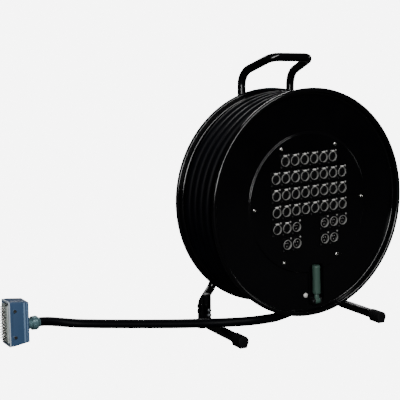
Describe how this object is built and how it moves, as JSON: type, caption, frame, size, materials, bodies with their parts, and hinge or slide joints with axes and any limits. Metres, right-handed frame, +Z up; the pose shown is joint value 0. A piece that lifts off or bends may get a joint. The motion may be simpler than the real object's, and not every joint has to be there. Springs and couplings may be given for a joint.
{
  "type": "multicore cable drum",
  "caption": "Gloss black steel cable drum with a panel of round audio sockets, a folding crank and a bent-tube stand; its multicore cable ends in a multipin plug.",
  "frame": {"origin": "on the floor, under the middle of the stand's width and depth", "axes": "+Z up, -Y out of the front flange with the sockets, +X to the right when facing the sockets"},
  "size_m": [0.8728, 0.301, 0.6158],
  "materials": {
    "gloss_black_paint": "gloss",
    "zinc_plate": "satin",
    "axle_steel": "satin",
    "bush_bronze": "satin",
    "black_rubber": "matte",
    "cable_jacket": "satin",
    "black_plastic": "matte",
    "bright_nickel": "polished",
    "grip_plastic": "gloss",
    "blue_hood": "satin",
    "contact_carrier": "matte",
    "black_fastener": "satin"
  },
  "bodies": {
    "stand": {"stand_frame": "gloss_black_paint", "foot_tube_left": "gloss_black_paint", "foot_tube_right": "gloss_black_paint", "front_ferrule_left": "black_rubber", "front_ferrule_right": "black_rubber", "leg_cap_left": "black_rubber", "leg_cap_right": "black_rubber", "stub_plug_left": "black_plastic", "stub_plug_right": "black_plastic", "leg_bolt_left_lower": "black_fastener", "leg_bolt_left_upper": "black_fastener", "leg_bolt_right_lower": "black_fastener", "leg_bolt_right_upper": "black_fastener", "plate_bolt_left_lower": "zinc_plate", "plate_bolt_left_upper": "zinc_plate", "plate_bolt_right_lower": "zinc_plate", "plate_bolt_right_upper": "zinc_plate", "axle_plate": "gloss_black_paint", "stub_axle": "axle_steel", "axle_washer": "zinc_plate", "axle_nut": "zinc_plate", "retaining_washer": "zinc_plate", "retaining_nut": "zinc_plate", "cable_tail": "cable_jacket", "plug_hood": "blue_hood", "plug_insert": "contact_carrier", "plug_gland": "zinc_plate", "gland_nut": "zinc_plate", "gland_seal": "black_rubber"},
    "drum": {"front_flange": "gloss_black_paint", "front_rim": "gloss_black_paint", "rear_flange": "gloss_black_paint", "barrel": "gloss_black_paint", "bulkhead": "zinc_plate", "hub_tube": "axle_steel", "bush_front": "bush_bronze", "bush_rear": "bush_bronze", "front_stud_ring": "bright_nickel", "rear_stud_ring": "bright_nickel", "winding_core": "cable_jacket", "winding_outer_layer": "cable_jacket", "loom_gland": "zinc_plate", "loom_trunk": "cable_jacket", "connector_loom": "cable_jacket", "female_shells": "black_plastic", "female_inserts": "black_plastic", "male_shells_left": "black_plastic", "male_shells_right": "black_plastic", "male_inserts": "black_plastic", "crank_pocket": "gloss_black_paint", "crank_bracket": "zinc_plate", "crank_pin": "axle_steel", "pocket_stud": "bright_nickel"},
    "latch_row_1": {"latch_tabs_row_1": "bright_nickel"},
    "latch_row_2": {"latch_tabs_row_2": "bright_nickel"},
    "latch_row_3": {"latch_tabs_row_3": "bright_nickel"},
    "latch_row_4": {"latch_tabs_row_4": "bright_nickel"},
    "latch_row_5": {"latch_tabs_row_5": "bright_nickel"},
    "crank_fold": {"crank_spindle": "grip_plastic"},
    "crank_grip": {"crank_grip": "grip_plastic"}
  },
  "joints": [
    {"name": "drum_turn", "type": "hinge", "parent": "stand", "child": "drum", "pos_m": [0, 0, 0.29], "axis": [0, 1, 0], "continuous": true},
    {"name": "latch_press_row_1", "type": "slide", "parent": "drum", "child": "latch_row_1", "axis": [0, 1, 0], "range_m": [0, 0.0012], "stiffness_N_per_m": 300},
    {"name": "latch_press_row_2", "type": "slide", "parent": "drum", "child": "latch_row_2", "axis": [0, 1, 0], "range_m": [0, 0.0012], "stiffness_N_per_m": 300},
    {"name": "latch_press_row_3", "type": "slide", "parent": "drum", "child": "latch_row_3", "axis": [0, 1, 0], "range_m": [0, 0.0012], "stiffness_N_per_m": 300},
    {"name": "latch_press_row_4", "type": "slide", "parent": "drum", "child": "latch_row_4", "axis": [0, 1, 0], "range_m": [0, 0.0012], "stiffness_N_per_m": 300},
    {"name": "latch_press_row_5", "type": "slide", "parent": "drum", "child": "latch_row_5", "axis": [0, 1, 0], "range_m": [0, 0.0012], "stiffness_N_per_m": 300},
    {"name": "crank_unfold", "type": "hinge", "parent": "drum", "child": "crank_fold", "pos_m": [0.02331, -0.07765, 0.06828], "axis": [0.9991, 0, 0.0419], "range_deg": [0, 90]},
    {"name": "grip_spin", "type": "hinge", "parent": "crank_fold", "child": "crank_grip", "pos_m": [0.02127, -0.07765, 0.11674], "axis": [-0.0419, 0, 0.9991], "continuous": true}
  ]
}
